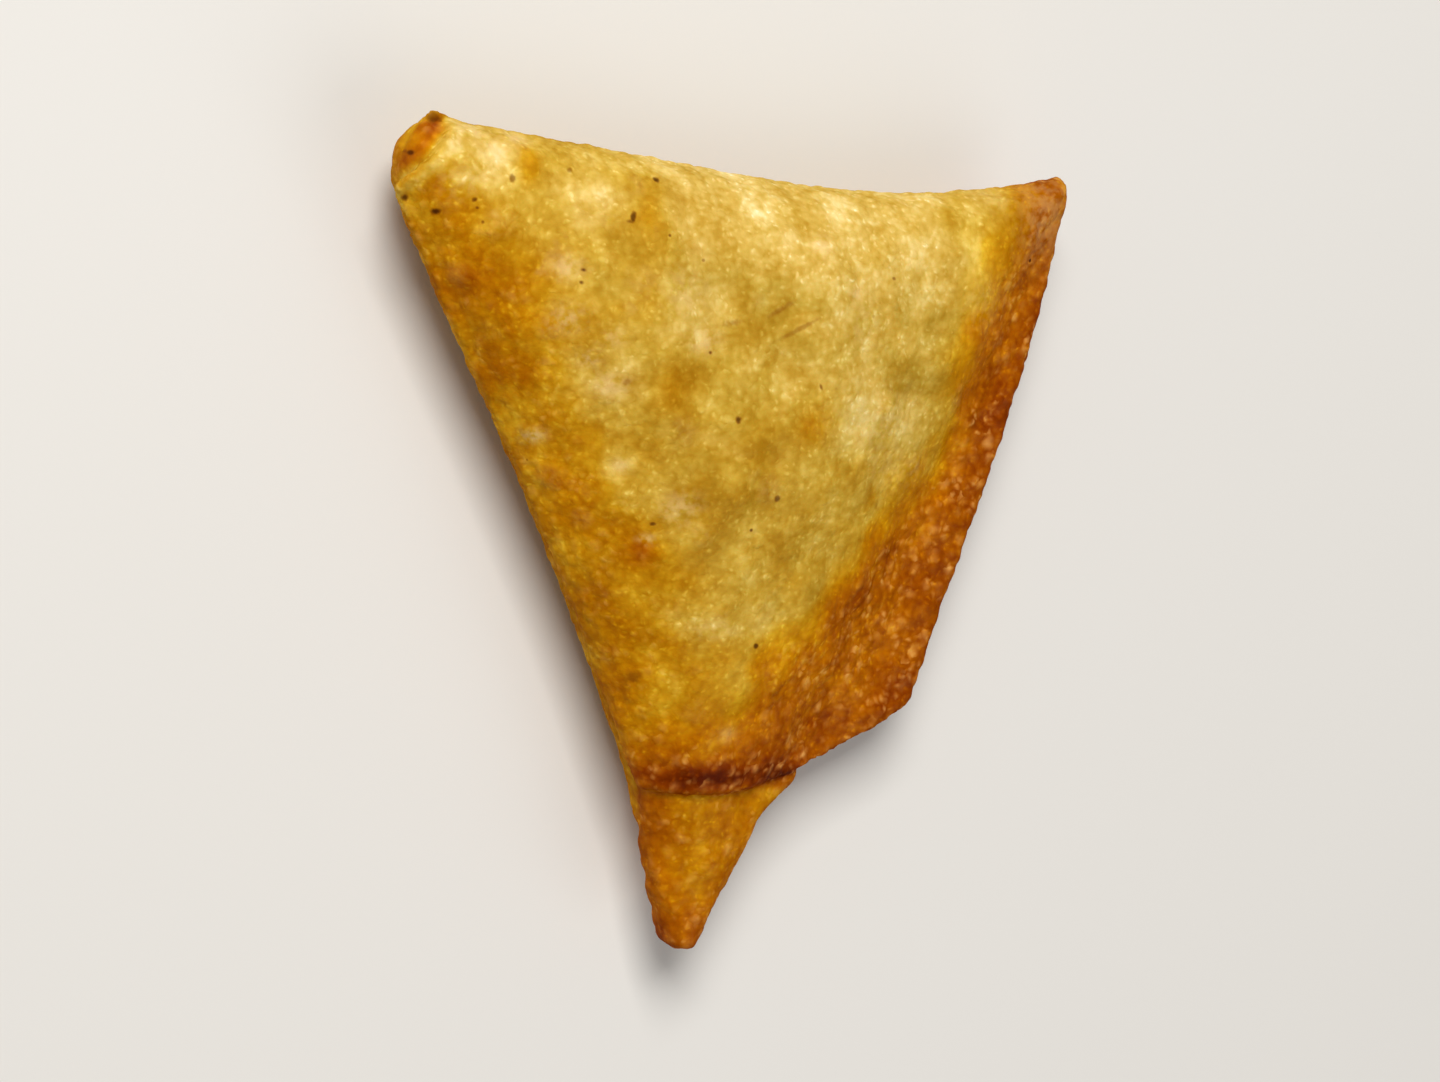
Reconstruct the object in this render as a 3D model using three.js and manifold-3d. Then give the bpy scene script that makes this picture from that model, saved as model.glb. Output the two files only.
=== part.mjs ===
// A fried samosa, folded from one strip of thin pastry into a three-cornered packet.
//
// The filled packet has a fold down its left side and ends in a narrow tip. The last turn of
// the strip comes over the top fold, lies down the front as far as its cut end, and what is
// wider than the packet is folded round the right side onto the back. The sheets are fried
// together, so the samosa is one solid. It lies on its back with the last turn up.
//
// Millimetres. The packet is drawn with its top left corner at the origin, the top fold along
// +X, the tip towards -Y and the front towards +Z, with z = 0 at the middle of its thin rim.
// A point is [x, y]. The finished solid is then moved to stand centred on its own origin.

import * as THREE from 'three';
import { mergeVertices } from 'three/addons/utils/BufferGeometryUtils.js';
import Module from 'manifold-3d';

const RAD = Math.PI / 180;

// The strip and its folds. The strip's long edge runs down the left side of the packet, a
// little hollow in the middle. The side fold and the cut bow outwards, and the top fold sags.
const STRIP_WIDTH = 73.6;
const CORNER_ANGLE = 61.2 * RAD;
const LONG_EDGE = 79.3;
const SIDE_FOLD = 61;
const SIDE_LEAN = 11.45 * RAD;
const SIDE_BOW = 2.9;
const BOW_SKEW = 0.55;
const TOP_SAG = 3.3;
const SAG_SKEW = 1.8;
const LEFT_BOW = 1.2;
const LEFT_SKEW = 1.4;
const CUT_BOW = 3.3;

// The packet inside the last turn: its right side runs from the shoulder to the tip, and
// flares a little where it comes out from under the cut.
const SHOULDER = [82, -3];
const TIP = [45.3, -92];
const TIP_END = 87.8;
const TIP_ROUND = 4.4;
const TIP_BLUNT = 0.3;
const TIP_BOW = 0.8;
const TIP_FLARE = 2.6;
const FLARE_DEPTH = 68.5;
const FLARE_REACH = 2.6;
const PACKET_BOW = 1;
const PACKET_INSET = 0.8;
const TIP_PUFF = 1.3;
const TIP_PUFF_REACH = 34;

// The ear at the end of the top fold, the lip of the cut and the open corner of the last
// turn: how high each stands, and how far in. The ear is also drawn out sideways to a point.
const EAR_RISE = 1.2;
const EAR_REACH = 6;
const EAR_OUT = 0.7;
const EAR_SPAN = 2.6;
const EAR_TURN = 40 * RAD;
const LIP_RISE = 0.5;
const LIP_REACH = 3;
const CORNER_RISE = 1.1;
const CORNER_REACH = 3;

// Thicknesses of one fried sheet, of half the packet's rim, and of half the thin side band.
// The rounded rims thin to EDGE_SHARE of themselves at the very edge, and the long edge of
// the last turn only to LONG_EDGE_SHARE. Sheets overlap by LAP where they are fried together.
const FRONT_SHEET = 1.4;
const BACK_SHEET = 1.0;
const RIM_HALF = 1.7;
const BAND_HALF = 1.35;
const FOLD_ROUND = 3.2;
const BAND_SLOPE = 9;
const EDGE_SHARE = 0.16;
const LONG_EDGE_SHARE = 0.6;
const LAP = 0.5;
const HEM = 0.15;

// The filling: how far it swells each face, how soon after each side, and its right edge.
const FRONT_RISE = 8.6;
const BACK_RISE = 6.8;
const SWELL_LEFT = 7.5;
const SWELL_TOP = 9.5;
const SWELL_SIDE = 14;
const SWELL_EASE = 1.4;
const SWELL_FULL = 0.8;
const BACK_EASE = 0.8;
const FILL_TOP = [86, -2];
const FILL_FOOT = [60.5, -57];

// Relief: lumps and ripples by their length, and blisters by the lattice that they lie on.
const LUMP_LENGTH = 21;
const LUMP_HEIGHT = 0.4;
const RIPPLE_LENGTH = 9.5;
const RIPPLE_HEIGHT = 0.15;
const BLISTER_CELL = 8;
const BLISTER_HEIGHT = 0.4;
const FRONT_SEED = 1;
const BACK_SEED = 5;

// Where it rests: the back is smooth round this point, and flat over the last bit of depth.
const REST_CENTRE = [46, -31];
const REST_SMOOTH = 13;
const REST_DEPTH = 1.0;

const CRUST = { color: 0xc79a38, roughness: 0.5, metalness: 0 };

const clamp = (value) => Math.min(1, Math.max(0, value));
const smooth = (value) => clamp(value) ** 2 * (3 - 2 * clamp(value));
const arch = (share) => Math.sin(Math.PI * clamp(share));
const mix = (from, to, share) => from + (to - from) * share;
const between = (from, to, share) => [mix(from[0], to[0], share), mix(from[1], to[1], share)];
const distance = ([x, y], [toX, toY]) => Math.hypot(x - toX, y - toY);

// The corners of the last turn: A and B end the top fold, P and Q end the cut. The corner at
// A is cut off between two places, and stands open.
const A = [0, 0];
const B = [STRIP_WIDTH / Math.sin(CORNER_ANGLE), 0];
const P = [LONG_EDGE * Math.cos(CORNER_ANGLE), -LONG_EDGE * Math.sin(CORNER_ANGLE)];
const Q = [B[0] - SIDE_FOLD * Math.sin(SIDE_LEAN), -SIDE_FOLD * Math.cos(SIDE_LEAN)];
const CORNER_TOP = [9.2, 0];
const CORNER_LOW = [3.5, -7.2];

// Distance of a point to the left of the way from one point to another, and how far along
// that way it lies, from 0 at the start to 1 at the end.
function leftOf([x, y], from, to) {
  const cross = (to[0] - from[0]) * (y - from[1]) - (to[1] - from[1]) * (x - from[0]);
  return cross / distance(from, to);
}

function shareOf([x, y], from, to) {
  const dot = (x - from[0]) * (to[0] - from[0]) + (y - from[1]) * (to[1] - from[1]);
  return dot / distance(from, to) ** 2;
}

// Distances in from the edges of the last turn, from the packet's own sides, and from the
// right edge of the filling. Across the packet's leaning sides, a level way is shortened.
const PACKET_SLOPE = (SHOULDER[1] - TIP[1]) / distance(SHOULDER, TIP);
const leftBow = (share) => LEFT_BOW * arch(clamp(share) ** LEFT_SKEW);
const fromLeft = (point) => leftOf(point, A, P) - leftBow(shareOf(point, A, P));
const sag = (x) => TOP_SAG * arch(clamp(x / B[0]) ** SAG_SKEW);
const fromTop = ([x, y]) => -y - sag(x);
const sideBow = (share) => SIDE_BOW * arch(clamp(share) ** BOW_SKEW);
const fromSide = (point) => sideBow(shareOf(point, B, Q)) - leftOf(point, B, Q);
const fromTip = ([, y]) => TIP_END + y;
const fromPacketLeft = ([x, y]) => (x - packetLeft(-y)) * Math.sin(CORNER_ANGLE);
const fromPacketSide = ([x, y]) => (packetRight(-y) - x) * PACKET_SLOPE;
const fromFilling = (point) => -leftOf(point, FILL_TOP, FILL_FOOT);

// A rounded rim: nearly nothing at the very edge, a quarter circle, and 1 further in.
function rounded(depth, radius) {
  const outward = 1 - clamp(depth / radius);
  return mix(EDGE_SHARE, 1, Math.sqrt(1 - outward ** 2));
}

// The swelling over the filling: 0 at the rim, rising towards 1 in the middle.
function swelling(point) {
  const rise = (inward, reach, ease) => 1 - Math.exp(-(Math.max(0, inward / reach) ** ease));
  const left = rise(fromLeft(point), SWELL_LEFT, 1);
  const top = rise(fromTop(point), SWELL_TOP, 1);
  const side = rise(fromFilling(point), SWELL_SIDE, SWELL_EASE);
  return (left * top * side) / SWELL_FULL;
}

// Even lumps: cosine waves of one length, each turned by the golden angle from the last.
const GOLDEN_ANGLE = Math.PI * (3 - Math.sqrt(5));
const GOLDEN_RATIO = (1 + Math.sqrt(5)) / 2;

function waves([x, y], length, count, seed) {
  let sum = 0;
  for (let k = 0; k < count; k += 1) {
    const turn = GOLDEN_ANGLE * k + seed;
    const phase = GOLDEN_RATIO * (k + 1) ** 2 + 7 * seed;
    const travel = x * Math.cos(turn) + y * Math.sin(turn);
    sum += Math.cos((2 * Math.PI * travel) / length + phase);
  }
  return sum / Math.sqrt(count);
}

// Round blisters, one in each cell of a square lattice, at a place and of a size that a
// seeded draw gives each cell.
function draw(i, j, seed) {
  const value = Math.sin(127.1 * i + 311.7 * j + 74.7 * seed) * 43758.5453;
  return value - Math.floor(value);
}

function blisters(point, cell, height, seed) {
  const column = Math.floor(point[0] / cell);
  const row = Math.floor(point[1] / cell);
  let tallest = 0;
  for (let i = column - 1; i <= column + 1; i += 1) {
    for (let j = row - 1; j <= row + 1; j += 1) {
      const centre = [(i + draw(i, j, seed)) * cell, (j + draw(i, j, seed + 1)) * cell];
      const radius = cell * mix(0.22, 0.42, draw(i, j, seed + 2));
      const dome = clamp(1 - (distance(point, centre) / radius) ** 2);
      tallest = Math.max(tallest, dome * mix(0.4, 1, draw(i, j, seed + 3)));
    }
  }
  return height * tallest;
}

// Relief of a face: lumps of filling, ripples of the sheet, and blisters, fading at the edges.
function relief(point, seed) {
  const inward = Math.min(fromLeft(point), fromTop(point), fromSide(point));
  const lumps = LUMP_HEIGHT * waves(point, LUMP_LENGTH, 5, seed);
  const ripples = RIPPLE_HEIGHT * waves(point, RIPPLE_LENGTH, 6, seed + 2);
  const bubbles = blisters(point, BLISTER_CELL, BLISTER_HEIGHT, seed);
  return (lumps + ripples) * smooth(inward / 10) + bubbles * smooth(inward / 3);
}

// Half the bare packet's thickness near its rim, and how far a point is over the packet
// rather than over the thin band at the side fold.
const topRim = (point) => rounded(fromTop(point), FOLD_ROUND);

function packetRim(point) {
  const inward = Math.min(fromPacketLeft(point), fromPacketSide(point), fromTip(point));
  const tip = smooth((TIP_PUFF_REACH - fromTip(point)) / TIP_PUFF_REACH);
  const puff = TIP_PUFF * tip * rounded(inward, TIP_ROUND);
  return RIM_HALF * topRim(point) * rounded(inward, RIM_HALF) + puff;
}

const overPacket = (point) => smooth(fromPacketSide(point) / BAND_SLOPE + 0.55);
const insidePacket = (point) => smooth((fromPacketSide(point) - RIM_HALF) / 3);

// Heights of the front: the packet's face, and the last turn a sheet above it, which bends
// down over the left fold, stands up in an ear at B and at its open corner, and has a thick
// lip at its cut.
const packetFront = (point) =>
  packetRim(point) + FRONT_RISE * swelling(point) + relief(point, FRONT_SEED);

function turnFront(point) {
  const flat = mix(BAND_HALF, RIM_HALF + FRONT_SHEET, overPacket(point));
  const side = rounded(fromSide(point), BAND_HALF);
  const left = mix(LONG_EDGE_SHARE, 1, rounded(fromLeft(point), FOLD_ROUND));
  const ear = EAR_RISE * Math.exp(-distance(point, B) / EAR_REACH);
  const lip = LIP_RISE * Math.exp(-Math.abs(leftOf(point, P, Q)) / LIP_REACH);
  const open = Math.abs(leftOf(point, CORNER_TOP, CORNER_LOW)) / CORNER_REACH;
  const corner = CORNER_RISE * Math.exp(-open);
  const crust = flat * topRim(point) * side * left + ear + lip + corner;
  return crust + FRONT_RISE * swelling(point) + relief(point, FRONT_SEED);
}

const turnInner = (point) =>
  mix(-HEM, Math.max(turnFront(point) - FRONT_SHEET - LAP, -HEM), insidePacket(point));

// Heights of the back, downwards from the rim: the packet, the sheet that comes up to the
// top fold, and the flap folded round the side, each a sheet further out.
function packetBack(point) {
  const bumpy = smooth(distance(point, REST_CENTRE) / REST_SMOOTH - 1);
  const swollen = BACK_RISE * swelling(point) ** BACK_EASE;
  return -packetRim(point) - swollen - bumpy * relief(point, BACK_SEED);
}

const sheetBack = (point) => packetBack(point) - BACK_SHEET * topRim(point);
const sheetInner = (point) => Math.min(packetBack(point) + LAP, HEM);

function flapBack(point) {
  const band = -BAND_HALF * topRim(point) * rounded(fromSide(point), BAND_HALF);
  const outer = sheetBack(point) - BACK_SHEET * topRim(point);
  return mix(band, outer, overPacket(point));
}

const flapInner = (point) =>
  mix(HEM, Math.min(flapBack(point) + BACK_SHEET + LAP, HEM), insidePacket(point));

// Shares from 0 to 1, closer together near both ends, by a cosine blended with even steps.
function shares(count, gather) {
  return Array.from({ length: count + 1 }, (_, k) => {
    const even = k / count;
    return mix(even, (1 - Math.cos(Math.PI * even)) / 2, gather);
  });
}

// The outline of the last turn. Its top left corner is cut off slantwise, by CORNER_SHARE of
// the long edge's length.
const CORNER_SHARE = 0.1;

const topSag = (x, v) => sag(x) * (1 - v) ** 4;

function sideFold(share) {
  const [x, y] = between(B, Q, share);
  const bow = sideBow(share);
  return [x + bow * Math.cos(SIDE_LEAN), y - bow * Math.sin(SIDE_LEAN)];
}

function longEdge(share) {
  const [x, y] = between(CORNER_LOW, P, share);
  const bow = leftBow(share);
  return [x + bow * Math.sin(CORNER_ANGLE), y + bow * Math.cos(CORNER_ANGLE)];
}

function turnOutline(u, v) {
  const left =
    v < CORNER_SHARE
      ? between(CORNER_TOP, CORNER_LOW, v / CORNER_SHARE)
      : longEdge((v - CORNER_SHARE) / (1 - CORNER_SHARE));
  const [x, y] = between(left, sideFold(v), u);
  return [x, y - topSag(x, v) - CUT_BOW * arch(u) * v ** 4];
}

// The outline of the packet, in level rows from the top fold to the round end of its tip.
// Its top left corner is blunt, and shows past the corner cut off the last turn.
const BLUNT_LEFT = 4.8;
const BLUNT_CUT = 2.9;
const BLUNT_FALL = 4;
const BLUNT_DEPTH = 9;
const BLUNT_PEAK = 1.2;

function packetLeft(depth) {
  const inward = PACKET_INSET + leftBow(-depth / P[1]);
  const fold = depth / Math.tan(CORNER_ANGLE) + inward / Math.sin(CORNER_ANGLE);
  const blunted = BLUNT_LEFT + BLUNT_CUT * (1 - clamp(depth / BLUNT_FALL)) ** 2;
  const below = (depth + P[1]) / (P[1] - TIP[1]);
  const tip = PACKET_INSET + mix(P[0], TIP[0], below) - TIP_BOW * arch(below);
  return depth < BLUNT_DEPTH ? Math.max(fold, blunted) : Math.min(fold, tip);
}

function packetRight(depth) {
  const share = (depth + SHOULDER[1]) / (SHOULDER[1] - TIP[1]);
  const flare = TIP_FLARE * Math.exp(-(((depth - FLARE_DEPTH) / FLARE_REACH) ** 2));
  return mix(SHOULDER[0], TIP[0], share) + PACKET_BOW * arch(share) + flare;
}

function packetOutline(u, v) {
  const depth = TIP_END * v;
  const toEnd = TIP_END - depth;
  const left = packetLeft(depth);
  const right = packetRight(depth);
  const round = Math.sqrt(TIP_ROUND ** 2 - Math.max(0, TIP_ROUND - toEnd) ** 2);
  const straight = (right - left) / 2;
  const half = toEnd < TIP_ROUND ? Math.min(straight, round + TIP_BLUNT) : straight;
  const x = (left + right) / 2 + mix(-half, half, u);
  const peak = BLUNT_PEAK * Math.exp(-Math.abs(x - BLUNT_LEFT - BLUNT_CUT) / 3);
  return [x, peak * (1 - v) ** 9 - depth - topSag(x, v)];
}

// The outline of the back sheet: the packet's, as far as the strip's long edge, which runs
// from B at the mirrored angle.
const SHEET_END = 74;
const SHEET_INSET = 2.5;

function sheetOutline(u, v) {
  const depth = SHEET_END * v;
  const right = B[0] - SHEET_INSET - depth / Math.tan(CORNER_ANGLE);
  const x = mix(packetLeft(depth), right, u);
  return [x, -depth - topSag(x, v)];
}

// The outline of the flap: a triangle from B to the side fold and to the strip's corner,
// which is where the strip's other long edge meets the line of the cut, folded over B-Q.
function stripCorner() {
  const down = [Math.cos(CORNER_ANGLE), -Math.sin(CORNER_ANGLE)];
  const reach = leftOf(B, P, Q) / ((Q[1] - P[1]) * down[0] - (Q[0] - P[0]) * down[1]);
  const length = reach * distance(P, Q);
  const flat = [B[0] + length * down[0], B[1] + length * down[1]];
  const out = 2 * leftOf(flat, B, Q);
  return [flat[0] - out * Math.cos(SIDE_LEAN), flat[1] + out * Math.sin(SIDE_LEAN)];
}

const FLAP = stripCorner();
const FLAP_START = 0.05;

function flapOutline(u, v) {
  const down = mix(FLAP_START, 1, v);
  return between(between(B, FLAP, down), sideFold(down), u);
}

// The ear's point: what lies near B moves outwards, the nearest the most.
function eared(point) {
  const out = EAR_OUT * Math.exp(-((distance(point, B) / EAR_SPAN) ** 2));
  return [point[0] + out * Math.cos(EAR_TURN), point[1] + out * Math.sin(EAR_TURN)];
}

// A closed sheet between two heights over an outline, on a grid of shares across and down.
function sheet(across, down, outline, upper, lower) {
  const places = down.flatMap((v) => across.map((u) => outline(u, v)));
  const face = (height) => places.map((at) => [...eared(at), height(at)]);
  const corners = [...face(upper), ...face(lower)];
  const right = across.length - 1;
  const last = down.length - 1;
  const top = (i, j) => j * across.length + i;
  const under = (i, j) => top(i, j) + places.length;
  const faces = [];
  const quad = (a, b, c, d) => faces.push(a, b, c, a, c, d);
  for (let j = 0; j < last; j += 1) {
    for (let i = 0; i < right; i += 1) {
      quad(top(i, j), top(i, j + 1), top(i + 1, j + 1), top(i + 1, j));
      quad(under(i, j), under(i + 1, j), under(i + 1, j + 1), under(i, j + 1));
    }
    quad(top(0, j), under(0, j), under(0, j + 1), top(0, j + 1));
    quad(top(right, j), top(right, j + 1), under(right, j + 1), under(right, j));
  }
  for (let i = 0; i < right; i += 1) {
    quad(top(i, 0), top(i + 1, 0), under(i + 1, 0), under(i, 0));
    quad(top(i, last), under(i, last), under(i + 1, last), top(i + 1, last));
  }
  const geometry = new THREE.BufferGeometry();
  geometry.setAttribute('position', new THREE.Float32BufferAttribute(corners.flat(), 3));
  geometry.setIndex(faces);
  return geometry;
}

// From a closed geometry to a solid, and back.
const wasm = await Module();
wasm.setup();

function solidOf(geometry) {
  const bare = geometry.clone();
  bare.deleteAttribute('normal');
  bare.deleteAttribute('uv');
  const merged = mergeVertices(bare);
  const vertProperties = merged.getAttribute('position').array;
  const triVerts = Uint32Array.from(merged.getIndex().array);
  return new wasm.Manifold(new wasm.Mesh({ numProp: 3, vertProperties, triVerts }));
}

function geometryOf(solid) {
  const { vertProperties, triVerts } = solid.getMesh();
  const geometry = new THREE.BufferGeometry();
  geometry.setAttribute('position', new THREE.BufferAttribute(vertProperties, 3));
  geometry.setIndex(new THREE.BufferAttribute(triVerts, 1));
  return geometry;
}

// The four sheets fried together. Any air sealed between them counts as filled, so only the
// outermost skin is kept.
const packet = sheet(shares(26, 0.5), shares(40, 0.2), packetOutline, packetFront, packetBack);
const turn = sheet(shares(40, 0.5), shares(36, 0.3), turnOutline, turnFront, turnInner);
const back = sheet(shares(26, 0.4), shares(30, 0.2), sheetOutline, sheetInner, sheetBack);
const flap = sheet(shares(16, 0.3), shares(22, 0.1), flapOutline, flapInner, flapBack);
const fried = [turn, back, flap].reduce((sum, piece) => sum.add(solidOf(piece)), solidOf(packet));
const [folded] = fried.decompose().sort((one, other) => other.volume() - one.volume());

// The rest: a block takes the last bit off the back, and leaves a flat there.
const BLOCK = 4 * STRIP_WIDTH;
const level = folded.boundingBox().min[2] + REST_DEPTH;
const block = new THREE.BoxGeometry(BLOCK, BLOCK, BLOCK).translate(0, 0, level - BLOCK / 2);
const samosaGeometry = geometryOf(folded.subtract(solidOf(block)));

// The origin goes under the middle of the outline, on the surface that the samosa lies on.
samosaGeometry.computeBoundingBox();
const { min, max } = samosaGeometry.boundingBox;
samosaGeometry.translate(-(min.x + max.x) / 2, -(min.y + max.y) / 2, -min.z);
samosaGeometry.computeVertexNormals();

const samosa = new THREE.Mesh(samosaGeometry, new THREE.MeshStandardMaterial(CRUST));
samosa.name = 'samosa';

const model = new THREE.Group();
model.add(samosa);

export default model;
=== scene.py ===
"""A fried samosa lying on its back on a pale floor, under soft studio light.

The samosa is drawn in millimetres with its top left corner at the origin, the top fold along
+X, the tip towards -Y and the front towards +Z, with z = 0 at the middle of its thin rim. It
is then carried into the frame's metres, where the solid lies.
"""

import itertools
import math

import bpy
import numpy as np
from mathutils import Matrix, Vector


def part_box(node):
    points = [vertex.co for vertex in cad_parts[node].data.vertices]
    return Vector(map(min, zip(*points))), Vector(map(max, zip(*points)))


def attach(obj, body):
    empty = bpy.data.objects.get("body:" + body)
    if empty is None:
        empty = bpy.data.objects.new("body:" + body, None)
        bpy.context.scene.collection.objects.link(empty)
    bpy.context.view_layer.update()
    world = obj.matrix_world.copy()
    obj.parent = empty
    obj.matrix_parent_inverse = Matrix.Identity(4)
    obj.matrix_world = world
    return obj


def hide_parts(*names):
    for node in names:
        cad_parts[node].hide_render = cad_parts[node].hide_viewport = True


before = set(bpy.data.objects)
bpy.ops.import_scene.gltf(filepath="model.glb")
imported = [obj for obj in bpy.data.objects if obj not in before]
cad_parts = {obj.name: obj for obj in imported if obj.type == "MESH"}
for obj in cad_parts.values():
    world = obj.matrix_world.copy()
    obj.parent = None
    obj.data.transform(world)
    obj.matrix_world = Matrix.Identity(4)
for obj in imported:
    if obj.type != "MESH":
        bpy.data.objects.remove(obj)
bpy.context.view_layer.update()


# ---------------------------------------------------------------------------------------
# The folded packet. A strip of thin pastry is folded over and over into a three-cornered
# packet round the filling. The last turn comes over the top fold, lies down the front to
# its cut end, and its spare width is folded round the side onto the back.

# The strip and the outline of its last turn: the angle between the top fold and the long edge,
# the side fold and how it leans inwards, and how each edge bows or sags.
STRIP_WIDTH = 73.6
CORNER_ANGLE = math.radians(61.2)
LONG_EDGE = 79.3
SIDE_FOLD = 61
SIDE_LEAN = math.radians(11.45)
SIDE_BOW = 2.9
BOW_SKEW = 0.55
TOP_SAG = 3.3
SAG_SKEW = 1.8
LEFT_BOW = 1.2
LEFT_SKEW = 1.4
CUT_BOW = 3.3

# The packet under it: its right fold from the shoulder to the tip, and how the tip is rounded,
# bent, flared past the cut, and puffed.
SHOULDER = (82, -3)
TIP = (45.3, -92)
TIP_END = 87.8
TIP_ROUND = 4.4
TIP_BLUNT = 0.3
TIP_BOW = 0.8
TIP_FLARE = 2.6
FLARE_DEPTH = 68.5
FLARE_REACH = 2.6
PACKET_BOW = 1
PACKET_INSET = 0.8
TIP_PUFF = 1.3
TIP_PUFF_REACH = 34

# What stands up: the ear at B, the lip of the cut, and the corner that opens like a beak.
EAR_RISE = 1.2
EAR_REACH = 6
EAR_OUT = 0.7
EAR_SPAN = 2.6
EAR_TURN = math.radians(40)
LIP_RISE = 0.5
LIP_REACH = 3
CORNER_RISE = 1.1
CORNER_REACH = 3

# Thicknesses of the sheets, and half those of the packet's rim and of the band beside it, how
# folds and edges are rounded, how the band slopes up onto the packet, and how the sheets lap.
FRONT_SHEET = 1.4
BACK_SHEET = 1.0
RIM_HALF = 1.7
BAND_HALF = 1.35
FOLD_ROUND = 3.2
BAND_SLOPE = 9
SLOPE_START = 0.55
INNER_STEP = 3
EDGE_SHARE = 0.16
LONG_EDGE_SHARE = 0.6
LAP = 0.5
HEM = 0.15

# The swelling over the filling: its height on each face, the reach of its rise from each side,
# and the slanting line where the filling ends, from its top to its foot.
FRONT_RISE = 8.6
BACK_RISE = 6.8
SWELL_LEFT = 7.5
SWELL_TOP = 9.5
SWELL_SIDE = 14
SWELL_EASE = 1.4
SWELL_FULL = 0.8
BACK_EASE = 0.8
FILL_TOP = (86, -2)
FILL_FOOT = (60.5, -57)

# The place on the back that the samosa lies on, and how far round it the back is smooth.
REST_CENTRE = (46, -31)
REST_SMOOTH = 13

# The corners: A and B at the ends of the top fold, P and Q at the ends of the cut.
A = (0, 0)
B = (STRIP_WIDTH / math.sin(CORNER_ANGLE), 0)
P = (LONG_EDGE * math.cos(CORNER_ANGLE), -LONG_EDGE * math.sin(CORNER_ANGLE))
Q = (B[0] - SIDE_FOLD * math.sin(SIDE_LEAN), -SIDE_FOLD * math.cos(SIDE_LEAN))


def clamp(value):
    return np.clip(value, 0, 1)


def smooth(value):
    """0 below 0, 1 above 1, and 3 v squared less 2 v cubed between."""
    share = clamp(value)
    return share * share * (3 - 2 * share)


def arch(share):
    """Half a sine wave over shares from 0 to 1."""
    return np.sin(np.pi * clamp(share))


def hump(value, middle, reach):
    """1 at the middle, less on both sides: e to the minus square of the way over the reach."""
    return np.exp(-(((value - middle) / reach) ** 2))


def fade(away, reach):
    """1 on a line or place, less on all sides: e to the minus way over the reach."""
    return np.exp(-np.abs(away) / reach)


def mix(start, end, share):
    return start + (end - start) * share


def left_of(x, y, start, end):
    """Distance to the left of the way from start to end: the cross product over its length."""
    cross = (end[0] - start[0]) * (y - start[1]) - (end[1] - start[1]) * (x - start[0])
    return cross / math.dist(start, end)


def share_of(x, y, start, end):
    """How far along the way from start to end: the dot product over its length squared."""
    dot = (x - start[0]) * (end[0] - start[0]) + (y - start[1]) * (end[1] - start[1])
    return dot / math.dist(start, end) ** 2


def side_bow(share):
    return SIDE_BOW * arch(clamp(share) ** BOW_SKEW)


def left_bow(share):
    return LEFT_BOW * arch(clamp(share) ** LEFT_SKEW)


def from_left(x, y):
    return left_of(x, y, A, P) - left_bow(share_of(x, y, A, P))


def sag(x):
    return TOP_SAG * arch(clamp(x / B[0]) ** SAG_SKEW)


def from_top(x, y):
    return -y - sag(x)


def from_side(x, y):
    return side_bow(share_of(x, y, B, Q)) - left_of(x, y, B, Q)


def from_cut(x, y):
    return left_of(x, y, P, Q) + CUT_BOW * arch(share_of(x, y, P, Q))


def from_filling(x, y):
    return -left_of(x, y, FILL_TOP, FILL_FOOT)


BLUNT_LEFT = 4.8
BLUNT_CUT = 2.9
BLUNT_FALL = 4
BLUNT_DEPTH = 9
BLUNT_PEAK = 1.2
BLUNT_REACH = 3


def packet_left(depth):
    """The packet's left fold: blunt at the corner, straight, then bent towards the tip."""
    inward = PACKET_INSET + left_bow(-depth / P[1])
    straight = depth / math.tan(CORNER_ANGLE) + inward / math.sin(CORNER_ANGLE)
    blunted = BLUNT_LEFT + BLUNT_CUT * (1 - clamp(depth / BLUNT_FALL)) ** 2
    below = (depth + P[1]) / (P[1] - TIP[1])
    tip = PACKET_INSET + mix(P[0], TIP[0], below) - TIP_BOW * arch(below)
    return np.where(depth < BLUNT_DEPTH, np.maximum(straight, blunted), np.minimum(straight, tip))


def packet_right(depth):
    """The packet's right fold: bowed, with a small flare just past the cut."""
    share = (depth + SHOULDER[1]) / (SHOULDER[1] - TIP[1])
    flare = TIP_FLARE * hump(depth, FLARE_DEPTH, FLARE_REACH)
    return mix(SHOULDER[0], TIP[0], share) + PACKET_BOW * arch(share) + flare


def from_packet_left(x, y):
    return (x - packet_left(-y)) * math.sin(CORNER_ANGLE)


def from_packet_side(x, y):
    """The level way to the packet's right fold, shortened by how the fold leans."""
    return (packet_right(-y) - x) * (SHOULDER[1] - TIP[1]) / math.dist(SHOULDER, TIP)


def rounded(depth, radius):
    """A rounded rim: a small share at the edge, then a quarter circle up to 1."""
    outward = 1 - clamp(depth / radius)
    return mix(EDGE_SHARE, 1, np.sqrt(1 - outward**2))


def rise(inward, reach, ease=1.0):
    return 1 - np.exp(-(np.maximum(0, inward / reach) ** ease))


def swelling(x, y):
    """The swelling over the filling: three saturating rises from the sides, multiplied."""
    left = rise(from_left(x, y), SWELL_LEFT)
    top = rise(from_top(x, y), SWELL_TOP)
    side = rise(from_filling(x, y), SWELL_SIDE, SWELL_EASE)
    return left * top * side / SWELL_FULL


GOLDEN_ANGLE = math.pi * (3 - math.sqrt(5))
GOLDEN_RATIO = (1 + math.sqrt(5)) / 2
DRAW_TURNS = (127.1, 311.7, 271.9)
SEED_TURN = 74.7
DRAW_STRETCH = 43758.5453


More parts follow.
